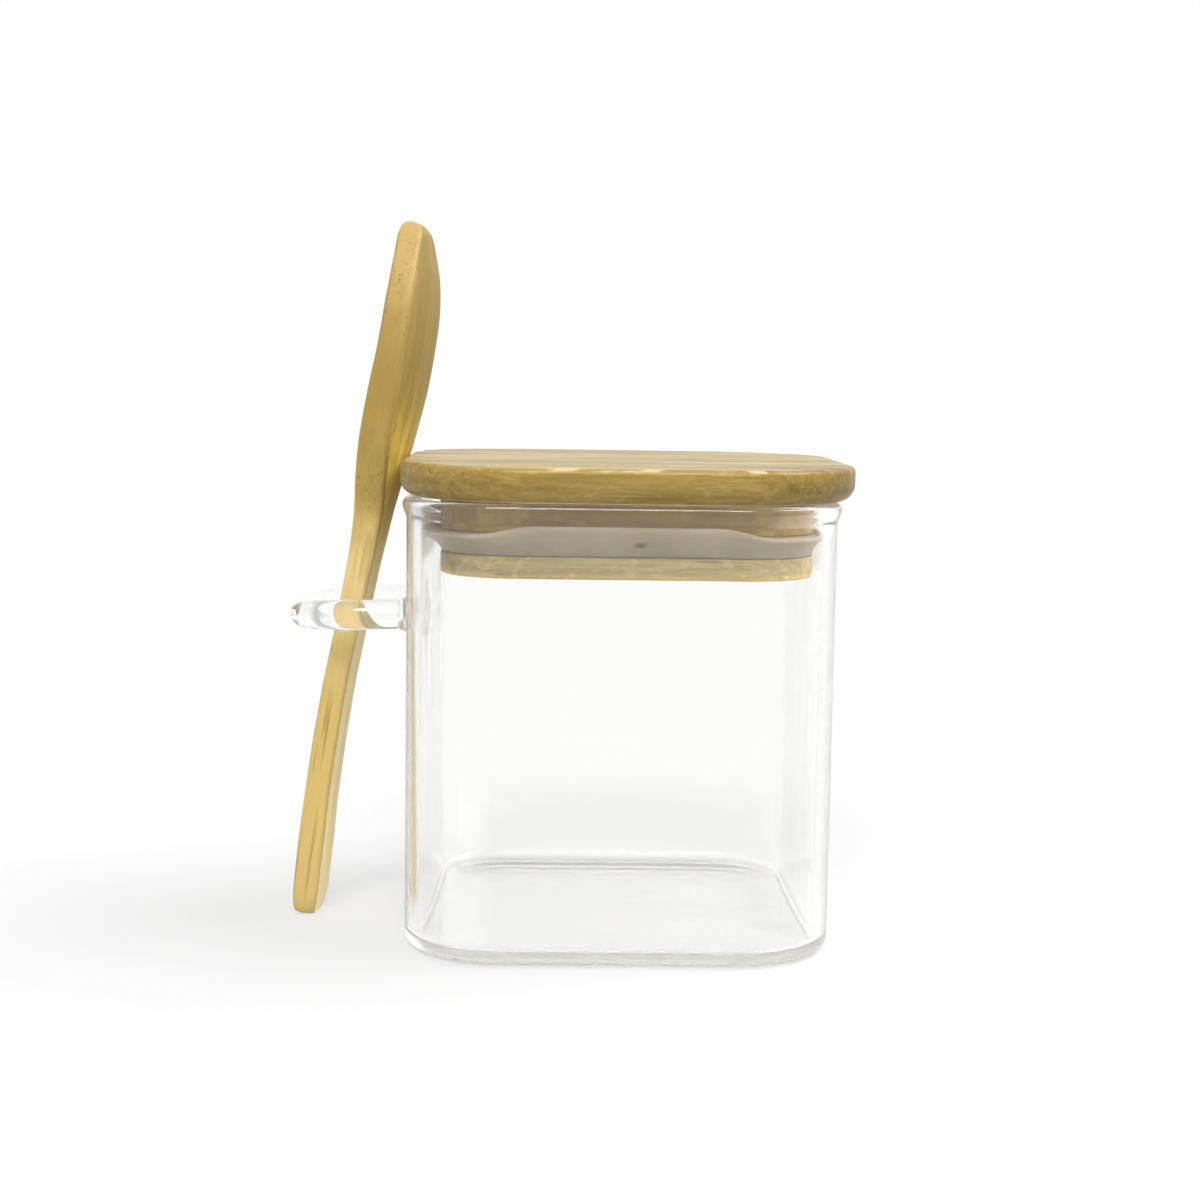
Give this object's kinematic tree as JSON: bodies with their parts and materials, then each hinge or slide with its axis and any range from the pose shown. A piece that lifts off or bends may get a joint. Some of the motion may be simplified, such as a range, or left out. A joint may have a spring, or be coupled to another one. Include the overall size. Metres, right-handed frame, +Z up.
{
  "type": "spice jar",
  "caption": "Square clear glass jar with a sealed bamboo lid and a glass side loop that holds a bamboo spoon.",
  "frame": {"origin": "centre of the jar's flat foot", "axes": "+Z up along the jar; -X towards the loop and spoon; +Y towards the back"},
  "size_m": [0.1012, 0.08, 0.1274],
  "materials": {
    "jar_glass": "clear pressed glass with a faint grey-green edge",
    "loop_glass": "clear bent glass rod, fire polished",
    "lid_bamboo": "sanded bamboo, lightly oiled, fine straight grain",
    "plug_bamboo": "sanded bamboo",
    "silicone": "translucent grey-white silicone, satin",
    "spoon_bamboo": "sanded bamboo with visible fibres, lightly oiled"
  },
  "bodies": {
    "jar": {"glass_jar": "jar_glass", "glass_loop": "loop_glass"},
    "lid": {"lid_plate": "lid_bamboo", "lid_plug": "plug_bamboo", "seal_ring": "silicone"},
    "spoon": {"spoon": "spoon_bamboo"}
  },
  "joints": [
    {"name": "lid_lift", "type": "slide", "parent": "jar", "child": "lid", "axis": [0, 0, 1], "range_m": [0, 0.018]},
    {"name": "spoon_tilt", "type": "hinge", "parent": "jar", "child": "spoon", "pos_m": [-0.0575, 0, 0.05], "axis": [0, -1, 0], "range_deg": [0, 6.8]}
  ],
  "couplings": [
    {"joint": "spoon_tilt", "follows": "lid_lift", "rad_per_m": 6.5}
  ]
}
